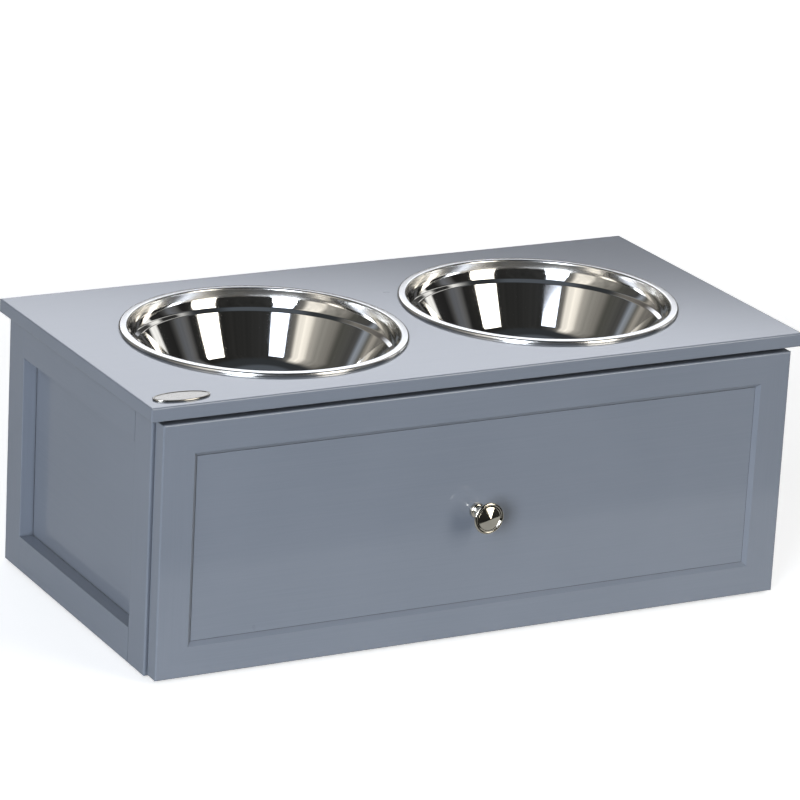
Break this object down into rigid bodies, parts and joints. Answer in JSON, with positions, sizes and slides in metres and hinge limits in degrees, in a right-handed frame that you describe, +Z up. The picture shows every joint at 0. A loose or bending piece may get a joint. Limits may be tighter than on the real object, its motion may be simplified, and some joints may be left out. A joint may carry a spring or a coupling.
{
  "type": "elevated dog feeder with storage",
  "caption": "Low painted cabinet with framed sides, steel bowls hung in its top board, and a wide storage drawer on roller slides with a round metal knob.",
  "frame": {"origin": "on the floor, under the middle of the whole feeder with its drawer shut", "axes": "+X to the right of someone facing the drawer, +Y from the drawer front to the back, +Z up"},
  "size_m": [0.6, 0.3242, 0.2355],
  "materials": {
    "painted_board": "medium-density fibreboard, semi-gloss blue-grey paint",
    "drawer_board": "medium-density fibreboard, satin blue-grey paint",
    "drawer_base": "thin hardboard, grey lacquer",
    "polished_steel": "stainless steel, mirror polished",
    "polished_nickel": "polished nickel plate",
    "zinc_steel": "zinc plated steel",
    "beech": "bare beech",
    "rubber": "matt rubber",
    "nylon": "white nylon"
  },
  "bodies": {
    "cabinet": {"top_board": "painted_board", "left_front_stile": "painted_board", "left_back_stile": "painted_board", "left_top_rail": "painted_board", "left_bottom_rail": "painted_board", "left_side_panel": "painted_board", "right_front_stile": "painted_board", "right_back_stile": "painted_board", "right_top_rail": "painted_board", "right_bottom_rail": "painted_board", "right_side_panel": "painted_board", "front_top_rail": "painted_board", "back_top_rail": "painted_board", "front_bottom_rail": "painted_board", "back_bottom_rail": "painted_board", "back_panel": "painted_board", "badge_plate": "polished_nickel", "left_cabinet_slide": "zinc_steel", "right_cabinet_slide": "zinc_steel", "cabinet_roller_rivets": "zinc_steel", "cabinet_slide_screws": "zinc_steel", "corner_screws": "zinc_steel", "back_screws": "zinc_steel", "corner_blocks": "beech", "frame_dowels": "beech", "rail_dowels": "beech", "foot_pads": "rubber"},
    "drawer": {"drawer_front_top_rail": "painted_board", "drawer_front_bottom_rail": "painted_board", "drawer_front_left_stile": "painted_board", "drawer_front_right_stile": "painted_board", "drawer_front_panel": "painted_board", "drawer_inner_front": "drawer_board", "drawer_left_side": "drawer_board", "drawer_right_side": "drawer_board", "drawer_back": "drawer_board", "drawer_bottom": "drawer_base", "left_drawer_slide": "zinc_steel", "right_drawer_slide": "zinc_steel", "drawer_roller_rivets": "zinc_steel", "drawer_slide_screws": "zinc_steel", "drawer_front_screws": "zinc_steel", "drawer_box_screws": "zinc_steel", "knob": "polished_nickel", "knob_screw": "zinc_steel"},
    "left_bowl": {"left_bowl": "polished_steel"},
    "right_bowl": {"right_bowl": "polished_steel"},
    "left_front_roller": {"left_front_roller": "nylon"},
    "right_front_roller": {"right_front_roller": "nylon"},
    "left_rear_roller": {"left_rear_roller": "nylon"},
    "right_rear_roller": {"right_rear_roller": "nylon"}
  },
  "joints": [
    {"name": "drawer_slide", "type": "slide", "parent": "cabinet", "child": "drawer", "axis": [0, -1, 0], "range_m": [0, 0.2]},
    {"name": "left_bowl_lift", "type": "slide", "parent": "cabinet", "child": "left_bowl", "axis": [0, 0, 1], "range_m": [0, 0.08]},
    {"name": "right_bowl_lift", "type": "slide", "parent": "cabinet", "child": "right_bowl", "axis": [0, 0, 1], "range_m": [0, 0.08]},
    {"name": "left_front_roller_spin", "type": "hinge", "parent": "cabinet", "child": "left_front_roller", "pos_m": [-0.2684, -0.1109, 0.031], "axis": [1, 0, 0], "range_deg": [0, 1320]},
    {"name": "right_front_roller_spin", "type": "hinge", "parent": "cabinet", "child": "right_front_roller", "pos_m": [0.2684, -0.1109, 0.031], "axis": [1, 0, 0], "range_deg": [0, 1320]},
    {"name": "left_rear_roller_spin", "type": "hinge", "parent": "drawer", "child": "left_rear_roller", "pos_m": [-0.2671, 0.1231, 0.031], "axis": [1, 0, 0], "range_deg": [0, 1320]},
    {"name": "right_rear_roller_spin", "type": "hinge", "parent": "drawer", "child": "right_rear_roller", "pos_m": [0.2671, 0.1231, 0.031], "axis": [1, 0, 0], "range_deg": [0, 1320]}
  ],
  "couplings": [
    {"joint": "left_front_roller_spin", "follows": "drawer_slide", "rad_per_m": 114.94},
    {"joint": "right_front_roller_spin", "follows": "drawer_slide", "rad_per_m": 114.94},
    {"joint": "left_rear_roller_spin", "follows": "drawer_slide", "rad_per_m": 114.94},
    {"joint": "right_rear_roller_spin", "follows": "drawer_slide", "rad_per_m": 114.94}
  ]
}
